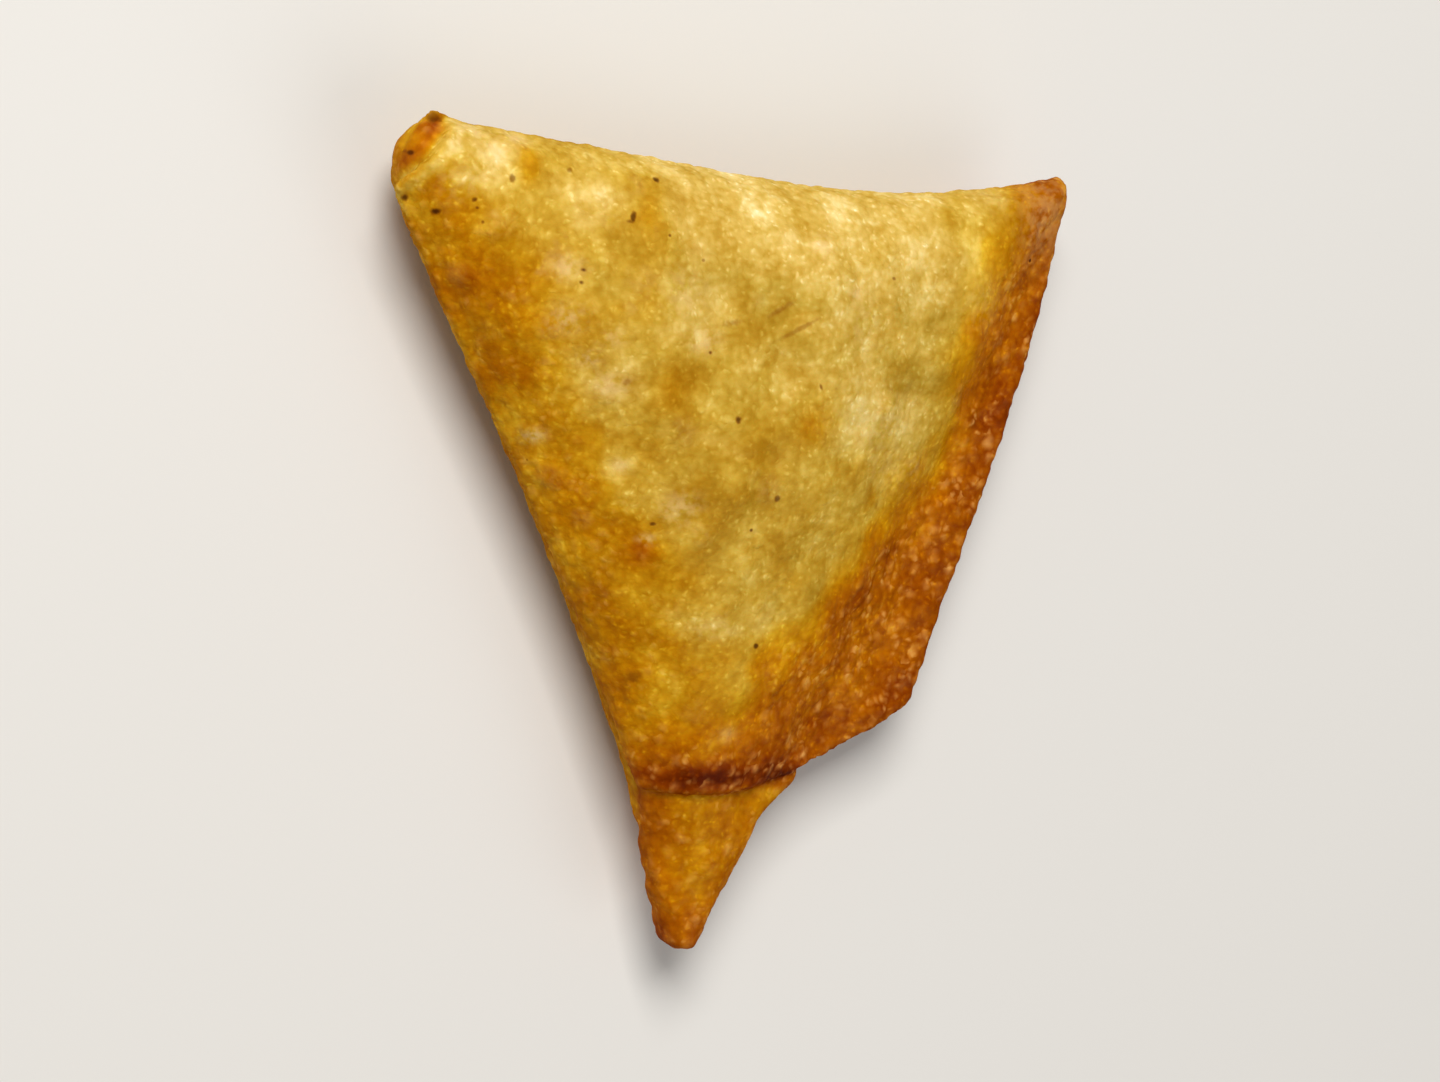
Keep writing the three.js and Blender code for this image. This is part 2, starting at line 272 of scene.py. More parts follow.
def waves(x, y, length, count, seed):
    """A sum of cosine waves of one length, each turned by the golden angle from the last."""
    total = 0
    for k in range(count):
        turn = GOLDEN_ANGLE * k + seed
        phase = GOLDEN_RATIO * (k + 1) ** 2 + 7 * seed
        travel = x * math.cos(turn) + y * math.sin(turn)
        total = total + np.cos(2 * math.pi * travel / length + phase)
    return total / math.sqrt(count)


def draw(i, j, seed):
    """A number from 0 to 1 for each lattice cell: the fraction of a large sine."""
    turn = DRAW_TURNS[0] * i + DRAW_TURNS[1] * j + SEED_TURN * seed
    value = np.sin(turn) * DRAW_STRETCH
    return value - np.floor(value)


DOME_RADII = (0.22, 0.42)
DOME_HEIGHTS = (0.4, 1)


def blisters(x, y, cell, height, seed):
    """The tallest of the domes that the nine nearest cells of a square lattice hold."""
    column = np.floor(x / cell)
    row = np.floor(y / cell)
    tallest = 0
    for i, j in itertools.product((-1, 0, 1), repeat=2):
        centre_x = (column + i + draw(column + i, row + j, seed)) * cell
        centre_y = (row + j + draw(column + i, row + j, seed + 1)) * cell
        radius = cell * mix(*DOME_RADII, draw(column + i, row + j, seed + 2))
        dome = clamp(1 - ((x - centre_x) ** 2 + (y - centre_y) ** 2) / radius**2)
        dome = dome * mix(*DOME_HEIGHTS, draw(column + i, row + j, seed + 3))
        tallest = np.maximum(tallest, dome)
    return height * tallest


LUMP_HEIGHT = 0.4
LUMP_LENGTH = 21
LUMP_MARGIN = 10
RIPPLE_HEIGHT = 0.15
RIPPLE_LENGTH = 9.5
SHEET_BLISTER = 0.4
SHEET_BLISTER_CELL = 8
SHEET_BLISTER_MARGIN = 3


def relief(x, y, seed):
    """Lumps, ripples and blisters, each less within its margin along the edges."""
    inward = np.minimum(np.minimum(from_left(x, y), from_top(x, y)), from_side(x, y))
    lumps = LUMP_HEIGHT * waves(x, y, LUMP_LENGTH, 5, seed)
    lumps = lumps + RIPPLE_HEIGHT * waves(x, y, RIPPLE_LENGTH, 6, seed + 2)
    raised = blisters(x, y, SHEET_BLISTER_CELL, SHEET_BLISTER, seed)
    return lumps * smooth(inward / LUMP_MARGIN) + raised * smooth(inward / SHEET_BLISTER_MARGIN)


def top_rim(x, y):
    return rounded(from_top(x, y), FOLD_ROUND)


def packet_rim(x, y):
    """Half the bare packet's thickness: its rounded rim and the puffed tip."""
    inward = np.minimum(from_packet_left(x, y), from_packet_side(x, y))
    inward = np.minimum(inward, TIP_END + y)
    tip = smooth((TIP_PUFF_REACH - TIP_END - y) / TIP_PUFF_REACH)
    puff = TIP_PUFF * tip * rounded(inward, TIP_ROUND)
    return RIM_HALF * top_rim(x, y) * rounded(inward, RIM_HALF) + puff


def over_packet(x, y):
    return smooth(from_packet_side(x, y) / BAND_SLOPE + SLOPE_START)


def inside_packet(x, y):
    return smooth((from_packet_side(x, y) - RIM_HALF) / INNER_STEP)


CORNER_TOP = (9.2, 0)
CORNER_LOW = (3.5, -7.2)
CORNER_SHARE = 0.1


def packet_front(x, y):
    return packet_rim(x, y) + FRONT_RISE * swelling(x, y) + relief(x, y, 1)


def turn_front(x, y):
    """The last turn's face: a sheet above the packet, thinner at its folds, and raised at
    the ear, at the lip of the cut and at the corner that opens like a beak."""
    flat = mix(BAND_HALF, RIM_HALF + FRONT_SHEET, over_packet(x, y))
    side = rounded(from_side(x, y), BAND_HALF)
    left = mix(LONG_EDGE_SHARE, 1, rounded(from_left(x, y), FOLD_ROUND))
    ear = EAR_RISE * fade(np.hypot(x - B[0], y - B[1]), EAR_REACH)
    lip = LIP_RISE * fade(left_of(x, y, P, Q), LIP_REACH)
    beak = CORNER_RISE * fade(left_of(x, y, CORNER_TOP, CORNER_LOW), CORNER_REACH)
    crust = flat * top_rim(x, y) * side * left + ear + lip + beak
    return crust + FRONT_RISE * swelling(x, y) + relief(x, y, 1)


def turn_inner(x, y):
    inner = np.maximum(turn_front(x, y) - FRONT_SHEET - LAP, -HEM)
    return mix(-HEM, inner, inside_packet(x, y))


def packet_back(x, y):
    bumpy = smooth(np.hypot(x - REST_CENTRE[0], y - REST_CENTRE[1]) / REST_SMOOTH - 1)
    swollen = BACK_RISE * swelling(x, y) ** BACK_EASE
    return -packet_rim(x, y) - swollen - bumpy * relief(x, y, 5)


def sheet_back(x, y):
    return packet_back(x, y) - BACK_SHEET * top_rim(x, y)


def sheet_inner(x, y):
    return np.minimum(packet_back(x, y) + LAP, HEM)


def flap_back(x, y):
    band = -BAND_HALF * top_rim(x, y) * rounded(from_side(x, y), BAND_HALF)
    outer = sheet_back(x, y) - BACK_SHEET * top_rim(x, y)
    return mix(band, outer, over_packet(x, y))


def flap_inner(x, y):
    inner = np.minimum(flap_back(x, y) + BACK_SHEET + LAP, HEM)
    return mix(HEM, inner, inside_packet(x, y))


# How soon the top fold's sag and the blunt corner's peak fade downwards, and the cut's bow
# upwards.
SAG_POWER = 4
CUT_POWER = 4
PEAK_POWER = 9


def top_sag(x, v):
    return sag(x) * (1 - v) ** SAG_POWER


def side_fold(share):
    """Places on the side fold, bowed outwards from the straight way from B to Q."""
    bow = side_bow(share)
    x = mix(B[0], Q[0], share) + bow * math.cos(SIDE_LEAN)
    return x, mix(B[1], Q[1], share) - bow * math.sin(SIDE_LEAN)


def turn_outline(u, v):
    """The last turn: its top left corner cut slantwise, its side and its cut end bowed."""
    corner = clamp(v / CORNER_SHARE)
    edge = clamp((v - CORNER_SHARE) / (1 - CORNER_SHARE))
    bow = left_bow(edge)
    left_x = mix(mix(CORNER_TOP[0], CORNER_LOW[0], corner), P[0], edge)
    left_y = mix(mix(CORNER_TOP[1], CORNER_LOW[1], corner), P[1], edge)
    left_x, left_y = left_x + bow * math.sin(CORNER_ANGLE), left_y + bow * math.cos(CORNER_ANGLE)
    right_x, right_y = side_fold(v)
    x = mix(left_x, right_x, u)
    return x, mix(left_y, right_y, u) - top_sag(x, v) - CUT_BOW * arch(u) * v**CUT_POWER


def packet_outline(u, v):
    """The packet in level rows, from the top fold to the round end of its tip."""
    depth = TIP_END * v
    left = packet_left(depth)
    right = packet_right(depth)
    past = np.maximum(0, depth - TIP_END + TIP_ROUND) / TIP_ROUND
    circle = TIP_ROUND * np.sqrt(clamp(1 - past**2))
    half = (right - left) / 2
    half = np.where(TIP_END - depth < TIP_ROUND, np.minimum(half, circle + TIP_BLUNT), half)
    x = (left + right) / 2 + mix(-half, half, u)
    peak = BLUNT_PEAK * fade(x - BLUNT_LEFT - BLUNT_CUT, BLUNT_REACH)
    return x, peak * (1 - v) ** PEAK_POWER - depth - top_sag(x, v)


SHEET_END = 74
SHEET_INSET = 2.5


def sheet_outline(u, v):
    """The back sheet: the packet's outline, as far as the strip's long edge."""
    depth = SHEET_END * v
    right = B[0] - SHEET_INSET - depth / math.tan(CORNER_ANGLE)
    x = mix(packet_left(depth), right, u)
    return x, -depth - top_sag(x, v)


def strip_corner():
    """Where the strip's other long edge meets the line of the cut, folded over B-Q."""
    down = (math.cos(CORNER_ANGLE), -math.sin(CORNER_ANGLE))
    across = (Q[1] - P[1]) * down[0] - (Q[0] - P[0]) * down[1]
    length = left_of(*B, P, Q) / across * math.dist(P, Q)
    flat = (B[0] + length * down[0], B[1] + length * down[1])
    out = 2 * left_of(*flat, B, Q)
    return flat[0] - out * math.cos(SIDE_LEAN), flat[1] + out * math.sin(SIDE_LEAN)


FLAP = strip_corner()
FLAP_START = 0.05


def flap_outline(u, v):
    """The flap on the back: a triangle from B to the side fold and to the strip's corner."""
    down = mix(FLAP_START, 1, v)
    side_x, side_y = side_fold(down)
    return mix(mix(B[0], FLAP[0], down), side_x, u), mix(mix(B[1], FLAP[1], down), side_y, u)


def eared(x, y):
    """The ear's point: what lies near B moves outwards, the nearest the most."""
    out = EAR_OUT * hump(np.hypot(x - B[0], y - B[1]), 0, EAR_SPAN)
    return x + out * math.cos(EAR_TURN), y + out * math.sin(EAR_TURN)


def sheet(across, down, outline, upper, lower):
    """A closed sheet between two heights over an outline: a grid of across by down places on
    each face, and a wall of quads round them. Returns corners and quads."""
    u, v = np.meshgrid(np.linspace(0, 1, across), np.linspace(0, 1, down))
    x, y = outline(u, v)
    faces = [np.stack([*eared(x, y), height(x, y)], axis=-1).reshape(-1, 3)
             for height in (upper, lower)]
    top = np.arange(across * down).reshape(down, across)
    under = top + across * down

    def quads(a, b, c, d):
        return np.stack([a, b, c, d], axis=-1).reshape(-1, 4)

    return np.concatenate(faces), np.concatenate([
        quads(top[:-1, :-1], top[1:, :-1], top[1:, 1:], top[:-1, 1:]),
        quads(under[:-1, :-1], under[:-1, 1:], under[1:, 1:], under[1:, :-1]),
        quads(top[:-1, 0], under[:-1, 0], under[1:, 0], top[1:, 0]),
        quads(top[:-1, -1], top[1:, -1], under[1:, -1], under[:-1, -1]),
        quads(top[0, :-1], top[0, 1:], under[0, 1:], under[0, :-1]),
        quads(top[-1, :-1], under[-1, :-1], under[-1, 1:], top[-1, 1:]),
    ])


MM = 0.001
GRID_STEP = 0.8
VOXEL = 0.38


def places(length):
    return int(length / GRID_STEP) + 1


layers = [
    sheet(places(B[0]), places(TIP_END), packet_outline, packet_front, packet_back),
    sheet(places(B[0]), places(LONG_EDGE), turn_outline, turn_front, turn_inner),
    sheet(places(B[0]), places(SHEET_END), sheet_outline, sheet_inner, sheet_back),
    sheet(places(SIDE_FOLD), places(SIDE_FOLD), flap_outline, flap_inner, flap_back),
]
starts = np.cumsum([0] + [len(corners) for corners, _ in layers])
all_corners = np.concatenate([corners for corners, _ in layers]) * MM
all_quads = np.concatenate([quads + start for (_, quads), start in zip(layers, starts)])

folded = bpy.data.meshes.new("folded_sheets")
folded.from_pydata(all_corners, [], all_quads)
samosa = bpy.data.objects.new("fried_samosa", folded)
bpy.context.collection.objects.link(samosa)

# Frying fuses the sheets: one skin of even quads is laid round all four.
fusing = samosa.modifiers.new("fusing", "REMESH")
fusing.mode = "VOXEL"
fusing.voxel_size = VOXEL * MM
evaluated = samosa.evaluated_get(bpy.context.evaluated_depsgraph_get())
fused = bpy.data.meshes.new_from_object(evaluated)
samosa.modifiers.clear()
samosa.data = fused
bpy.data.meshes.remove(folded)


def read_vectors(collection, name):
    values = np.empty(len(collection) * 3)
    collection.foreach_get(name, values)
    return values.reshape(-1, 3)


points = read_vectors(fused.vertices, "co") / MM
ends = np.empty(len(fused.edges) * 2, dtype=int)
fused.edges.foreach_get("vertices", ends)
ends = ends.reshape(-1, 2)


def neighbour_mean(values):
    """The mean of each vertex's neighbours along its edges."""
    total = np.zeros_like(values)
    count = np.zeros(len(values))
    for one, other in (ends.T, ends.T[::-1]):
        for axis in range(values.shape[1]):
            total[:, axis] += np.bincount(one, values[other, axis], len(values))
        count += np.bincount(one, minlength=len(values))
    return total / count[:, None]


SMOOTHINGS = 3
SMOOTHING_SHARE = 0.5
for _ in range(SMOOTHINGS):
    points = mix(points, neighbour_mean(points), SMOOTHING_SHARE)


# ---------------------------------------------------------------------------------------
# The fried crust. Hot oil raises small bubbles all over the pastry, larger ones where it is
# thin and dry: along the side fold, at the cut end and on the tip. There it also browns most,
# and over the filling it stays pale, with the filling showing through.


def draw3(cell, seed):
    """A number from 0 to 1 for each cell of a cubic lattice: the fraction of a large sine."""
    value = np.sin(cell @ DRAW_TURNS + SEED_TURN * seed) * DRAW_STRETCH
    return value - np.floor(value)


def bubbles(where, size, seed, least, most, share=1.0):
    """Domes in a cubic lattice: each cell holds one with a drawn centre and radius, a share
    of them are raised, and the tallest of the 27 nearest counts."""
    scaled = where / size
    base = np.floor(scaled)
    tallest = np.zeros(len(where))
    for offset in itertools.product((-1, 0, 1), repeat=3):
        cell = base + offset
        centre = cell + np.stack([draw3(cell, seed + k) for k in range(3)], axis=-1)
        radius = mix(least, most, draw3(cell, seed + 3))
        raised = draw3(cell, seed + 4) < share
        dome = 1 - ((scaled - centre) ** 2).sum(axis=1) / radius**2
        tallest = np.maximum(tallest, dome * raised)
    return tallest


def clouds(where, length, count, seed):
    """A sum of cosine waves of one length in directions spread over a sphere."""
    total = 0
    for k in range(count):
        height = 1 - (2 * k + 1) / count
        level = math.sqrt(1 - height**2)
        turn = GOLDEN_ANGLE * k + seed
        phase = GOLDEN_RATIO * (k + 1) ** 2 + 5 * seed
        travel = where @ (level * math.cos(turn), level * math.sin(turn), height)
        total = total + np.cos(2 * math.pi * travel / length + phase)
    return total / math.sqrt(count)


# Where each place of the skin lies: on the front, which is 1, on the back, which is 0, or on
# the rim between them, how far down the side fold, and how far above the cut end. The back has
# no cut end, so it counts as far from it.
RIM_BLEND = 2
FAR_FROM_CUT = 30
x, y, z = points.T
down = -y
left, top, side, cut = from_left(x, y), from_top(x, y), from_side(x, y), from_cut(x, y)
down_side = clamp(share_of(x, y, B, Q))
front = smooth(z / RIM_BLEND + 0.5)
over_cut = np.where(front > 0.5, np.maximum(cut, 0), FAR_FROM_CUT)

# Uneven frying: soft clouds of three sizes in millimetres.
broken = clouds(points, length=4.7, count=11, seed=2)
patchy = clouds(points, length=9, count=9, seed=9)
wide = clouds(points, length=19, count=9, seed=15)
frying = {"broken": broken, "patchy": patchy, "wide": wide}


def uneven(level, **shares):
    """A level with a share of each named cloud added."""
    for name, share in shares.items():
        level = level + share * frying[name]
    return level


# How far in from the side fold the crust turns from brown to amber: further below the ear, less
# at a waist halfway down, and furthest at the foot, by the cut end.
BAND_WIDTH = 6.5
BELOW_EAR_WIDTH = 2.8
BELOW_EAR_SHARE = 0.3
WAIST_DEPTH = 1.6
WAIST_SHARE = 0.54
WAIST_REACH = 0.07
FOOT_WIDTH = 15
FOOT_START = 0.56
FOOT_LENGTH = 0.44
FOOT_POWER = 1.4
brown_width = BAND_WIDTH + BELOW_EAR_WIDTH * smooth(down_side / BELOW_EAR_SHARE)
brown_width = brown_width - WAIST_DEPTH * hump(down_side, WAIST_SHARE, WAIST_REACH)
foot = clamp((down_side - FOOT_START) / FOOT_LENGTH)
brown_width = brown_width + FOOT_WIDTH * foot**FOOT_POWER

# How crisp the crust is: 1 where the pastry is thin and bubbles, 0 over the soft filling, and
# between them on the straight left fold and on the tip, past the cut end.
LEFT_CRISP = 0.4
LEFT_CRISP_WIDTH = 12
CUT_CRISP_WIDTH = 11
CRISP_FADE = 9
BAND_CRISP_MARGIN = 2
BAND_CRISP_FADE = 7
TIP_CRISP = 0.45
CUT_STEP = 0.6
past_cut = smooth(-cut / CUT_STEP) * front
crisp = np.maximum(LEFT_CRISP * smooth((LEFT_CRISP_WIDTH - left) / CRISP_FADE),
                   smooth((brown_width + BAND_CRISP_MARGIN - side) / BAND_CRISP_FADE))
crisp = np.maximum(crisp, smooth((CUT_CRISP_WIDTH - over_cut) / CRISP_FADE))
crisp = crisp * mix(1, TIP_CRISP, past_cut)

fused.vertices.foreach_set("co", (points * MM).ravel())
fused.update()
normals = read_vectors(fused.vertices, "normal")

# What the oil raises, in millimetres: fine and coarse bubbles, whose height is lowest over the
# filling and highest where the crust is crisp and on the rough folds, then scattered blisters,
# and a slow unevenness.
ROUGH_FOLD_WIDTH = 3.5
ROUGH_FOLD_FADE = 3
FINE_HEIGHTS = (0.06, 0.13)
COARSE_HEIGHTS = (0.05, 0.17)
BLISTER_HEIGHT = 0.16
UNEVEN_HEIGHT = 0.05
fine = clamp(bubbles(points, size=1.3, seed=11, least=0.5, most=0.8))
coarse = clamp(bubbles(points, size=2.0, seed=23, least=0.45, most=0.75))
blister = clamp(bubbles(points, size=5.5, seed=37, least=0.2, most=0.42, share=0.45))
rough_fold = smooth((ROUGH_FOLD_WIDTH - np.minimum(left, top)) / ROUGH_FOLD_FADE)
bubbly = np.maximum(crisp, rough_fold)
raised = mix(*FINE_HEIGHTS, bubbly) * fine
raised = raised + mix(*COARSE_HEIGHTS, bubbly) * coarse
raised = raised + BLISTER_HEIGHT * blister + UNEVEN_HEIGHT * broken
points = points + normals * (raised - raised.mean())[:, None]

# Carried into the frame, onto the solid: centred in its outline, and pressed flat to the same
# depth at the lowest place of its back.
REST_DEPTH = 1.0
low, high = (np.array(corner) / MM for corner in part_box("samosa"))
lowest, highest = all_corners.min(axis=0) / MM, all_corners.max(axis=0) / MM
shift = (low + high) / 2 - (lowest + highest) / 2
shift[2] = low[2] - lowest[2] - REST_DEPTH
placed = points + shift
placed[:, 2] = np.maximum(placed[:, 2], low[2])
fused.vertices.foreach_set("co", (placed * MM).ravel())
fused.update()
fused.shade_smooth()


def paint_values(name, values):
    layer = fused.attributes.new(name, "FLOAT", "POINT")
    layer.data.foreach_set("value", values.astype(np.float32))


# Patches on the front: the place, the reach across and down, and how much browner, duller and
# creamier the crust is there. Most are what frying leaves; the duller column is partly the crust's
# own dullness and partly painted shade and painted light, as in the painted shadow at the edge of
# the cut and the painted light on the inner slope of the brown band. A patch below 0 is paler, or
# brighter.
PATCHES = (
    ((30.0, -8.0), (2.6, 3.2), 0.10, 0.2, 0.0),
    ((16.8, -3.5), (1.3, 2.6), 0.12, 0.1, 0.0),
    ((7.5, -0.9), (2.2, 0.9), 0.14, 0.0, 0.0),
    ((14.5, -13.5), (5.0, 3.4), 0.05, 0.55, 0.0),
    ((35.0, -8.0), (3.4, 3.4), 0.02, 0.55, 0.0),
    ((69.5, -6.0), (2.4, 3.2), 0.10, 0.1, 0.0),
    ((74.5, -2.5), (1.8, 1.5), -0.06, -0.3, 0.3),
    ((32.5, -25.5), (3.2, 3.4), 0.11, 0.5, 0.0),
    ((35.5, -28.5), (2.6, 2.6), 0.04, 0.8, 0.0),
    ((24.5, -23.5), (2.4, 2.4), 0.03, 0.5, 0.0),
    ((41.0, -19.0), (2.8, 3.4), 0.04, 0.9, 0.0),
    ((47.0, -18.0), (3.8, 2.6), 0.00, 0.3, 0.0),
    ((50.0, -28.5), (2.4, 2.8), 0.15, 0.1, 0.0),
    ((45.0, -31.5), (4.0, 3.8), 0.02, 0.8, 0.0),
    ((26.0, -36.5), (3.0, 3.6), 0.03, 0.2, 0.0),
    ((32.4, -42.8), (1.7, 1.7), 0.22, 0.0, 0.0),
    ((34.0, -45.5), (2.2, 2.0), 0.06, 0.3, 0.0),
    ((39.5, -37.5), (2.8, 2.8), 0.02, 0.8, 0.0),
    ((47.0, -41.8), (3.2, 2.4), 0.02, 0.6, 0.0),
    ((30.0, -31.5), (2.6, 3.0), 0.04, 0.5, 0.0),
    ((36.0, -46.0), (3.4, 2.8), 0.02, 0.5, 0.0),
    ((64.0, -23.0), (3.6, 3.4), 0.02, 0.3, 0.0),
    ((62.0, -15.0), (3.4, 2.4), -0.04, 0.1, 0.0),
    ((77.0, -29.0), (3.0, 5.0), 0.02, 0.3, 0.0),
    ((71.0, -50.0), (2.4, 5.0), 0.00, 0.3, 0.0),
    ((70.0, -58.0), (2.6, 2.4), 0.05, 0.6, 0.0),
    ((60.0, -59.0), (3.0, 2.6), 0.02, 0.25, 0.0),
    ((45.0, -67.0), (4.0, 1.4), 0.07, 0.8, 0.0),
    ((43.0, -63.5), (2.8, 1.8), 0.00, -0.3, 0.0),
    # Painted shadow at the edge of the cut, over the tip.
    ((55.5, -68.2), (2.4, 1.2), 0.14, 0.8, 0.0),
    ((71.0, -33.5), (2.2, 3.0), -0.06, -0.5, 0.0),
    ((55.5, -17.5), (3.0, 3.0), -0.04, -0.3, 0.3),
    ((27.6, -25.0), (1.1, 0.9), 0.00, 0.8, 0.0),
    ((12.8, -2.7), (2.1, 1.4), -0.14, -0.5, 0.6),
    ((11.0, -0.9), (1.7, 0.6), -0.10, -0.4, 0.8),
    ((16.0, -1.3), (1.5, 0.6), -0.10, -0.4, 0.8),
    ((8.8, -2.4), (1.0, 0.9), -0.14, -0.4, 0.4),
    ((10.3, -5.6), (3.2, 1.3), -0.12, -0.5, 0.4),
    ((15.0, -8.0), (2.0, 2.0), 0.06, 0.4, 0.0),
    ((23.5, -7.0), (3.0, 2.4), -0.08, -0.6, 0.3),
    ((20.4, -13.9), (1.3, 1.1), -0.06, 0.0, 0.9),
    ((20.8, -19.0), (1.5, 1.4), -0.04, 0.0, 0.7),
    ((25.5, -20.5), (1.4, 1.2), -0.04, 0.0, 0.5),
    ((24.5, -16.0), (4.6, 3.8), -0.09, -0.3, 0.0),
    ((33.5, -15.5), (2.6, 2.2), -0.07, -0.3, 0.5),
    ((36.0, -20.3), (1.7, 1.2), -0.06, 0.0, 0.8),
    ((26.0, -25.6), (1.9, 1.3), -0.06, 0.0, 0.8),
    ((23.4, -23.0), (1.1, 0.9), -0.04, 0.0, 0.7),
    ((20.4, -31.6), (0.8, 0.7), -0.10, 0.0, 1.0),
    ((28.5, -34.0), (0.9, 0.9), -0.06, 0.0, 0.6),
    ((35.0, -38.0), (1.9, 1.6), -0.05, 0.0, 0.7),
    ((32.5, -41.5), (0.9, 0.5), -0.10, -0.3, 0.8),
    ((59.0, -27.5), (6.0, 3.4), -0.04, -0.6, 0.4),
    ((64.0, -33.0), (4.4, 2.4), 0.10, -0.4, 0.2),
    # Painted light on the inner slope of the brown band.
    ((73.0, -14.0), (3.0, 3.0), 0.00, -0.5, 0.2),
    ((61.0, -40.0), (3.4, 3.0), 0.03, -0.3, 0.0),
    ((52.5, -52.5), (4.8, 4.0), -0.10, -0.5, 0.0),
    ((47.0, -57.0), (5.0, 3.4), -0.08, -0.25, 0.0),
    ((37.0, -58.5), (3.4, 4.6), -0.03, -0.3, 0.0),
    ((41.5, -50.8), (2.8, 1.0), -0.08, -0.2, 0.4),
    ((45.6, -62.6), (1.1, 0.7), -0.04, -0.3, 0.4),
    ((50.5, -9.4), (1.3, 1.2), -0.08, -0.1, 0.8),
    ((54.6, -14.0), (1.0, 0.8), -0.08, -0.1, 0.8),
    ((81.5, -4.0), (3.6, 4.5), 0.04, 0.3, 0.35),
    ((38.0, -8.0), (2.6, 3.6), -0.05, 0.05, 0.0),
    ((57.0, -6.0), (4.6, 2.6), -0.06, -0.1, 0.0),
    # Painted light on the inner slope of the brown band.
    ((71.5, -8.5), (2.4, 5.0), 0.05, -0.7, 0.0),
    ((71.0, -19.0), (2.0, 4.0), 0.03, -0.5, 0.0),
    ((30.0, -19.0), (4.4, 2.8), -0.06, -0.1, 0.0),
    ((66.0, -57.0), (2.6, 2.4), -0.06, 0.0, 0.0),
    ((21.5, -30.5), (3.0, 3.2), -0.06, -0.15, 0.0),
    ((55.0, -46.0), (2.8, 3.0), -0.05, 0.0, 0.0),
)

# Browning, from 0, the palest, over 0.5, which is amber, to 1, which is nearly black. The pale
# heart of the front darkens towards the tip, in steps that have a start, a length and a share,
# and towards the left corner.
PALEST = 0.1
HEART_STEPS = (
    (8, 10, 0.14),
    (18, 22, 0.09),
    (46, 18, 0.16),
)
CORNER_BROWN = 0.19
CORNER_WIDTH = 36
CORNER_WIDTH_FADE = 7
CORNER_DEPTH = 24
CORNER_DEPTH_FADE = 6
BACK_HEART = 0.34
heart = PALEST
for start, length, browner in HEART_STEPS:
    heart = heart + browner * smooth((down - start) / length)
corner = smooth((CORNER_WIDTH - x) / CORNER_WIDTH_FADE)
corner = corner * smooth((CORNER_DEPTH - down) / CORNER_DEPTH_FADE)
heart = mix(BACK_HEART, heart + CORNER_BROWN * corner, front)

# Each edge browns inwards: the left fold, the side fold with its band, whose inner edge wanders
# and whose rim is burnt, the cut end with its burnt lip, and the flap's free edge on the back.
LEFT_BROWN = 0.47
LEFT_BROWN_LOSS = 0.27
LEFT_BROWN_RIM = 2
LEFT_BROWN_WIDTH = 10.5
BAND_BROWN = 0.57
BAND_BROWN_GAIN = 0.12
BAND_BROWN_SHARE = 0.35
BAND_BROWN_IN = 5
BAND_BROWN_FADE = 18
BAND_WANDER = 1.1
BAND_BREAK = 0.7
RIM_BURN = 0.13
RIM_BURN_IN = 1
RIM_BURN_FADE = 6
RIM_BURN_SHARE = 0.7
CUT_BROWN = 0.42
CUT_BROWN_IN = 6
CUT_BROWN_FADE = 14
CUT_RIM_BROWN = 0.2
CUT_RIM_REACH = 5
LIP_BURN = 0.3
LIP_BURN_IN = 1.8
LIP_BURN_REACH = 1.7
LIP_BURN_END = 0.8
LIP_BURN_FADE = 0.4
HEM_BROWN = 0.46
HEM_STEP = 0.4
HEM_IN = 0.6
HEM_FADE = 4
EDGE_POWER = 8

inner_edge = uneven(side, patchy=BAND_WANDER, broken=BAND_BREAK) - brown_width
band = BAND_BROWN + BAND_BROWN_GAIN * smooth(down_side / BAND_BROWN_SHARE)
rim_burn = RIM_BURN * (1 - smooth((side - RIM_BURN_IN) / RIM_BURN_FADE))
rim_burn = rim_burn * arch(down_side / RIM_BURN_SHARE)
along_cut = clamp(share_of(x, y, P, Q))
cut_end = CUT_BROWN * (1 - smooth((over_cut - CUT_BROWN_IN) / CUT_BROWN_FADE))
burnt_lip = LIP_BURN * hump(over_cut, LIP_BURN_IN, LIP_BURN_REACH)
burnt_lip = burnt_lip * smooth((LIP_BURN_END - along_cut) / LIP_BURN_FADE)
on_flap = np.minimum(left_of(x, y, B, FLAP), left_of(x, y, FLAP, Q))
flap_hem = smooth((on_flap + HEM_STEP) / HEM_STEP) * (1 - smooth((on_flap - HEM_IN) / HEM_FADE))
flap_hem = flap_hem * (1 - front) * uneven(0.93, broken=0.1, patchy=0.06)

# The browner of them counts: the eighth root of the sum of their eighth powers.
layers_of_brown = (
    heart,
    HEM_BROWN * flap_hem,
    LEFT_BROWN - LEFT_BROWN_LOSS * smooth((left - LEFT_BROWN_RIM) / LEFT_BROWN_WIDTH),
    band * (1 - smooth((inner_edge + BAND_BROWN_IN) / BAND_BROWN_FADE)) + rim_burn,
    cut_end + CUT_RIM_BROWN * fade(over_cut, CUT_RIM_REACH) + burnt_lip,
)
browning = sum(share**EDGE_POWER for share in layers_of_brown) ** (1 / EDGE_POWER)

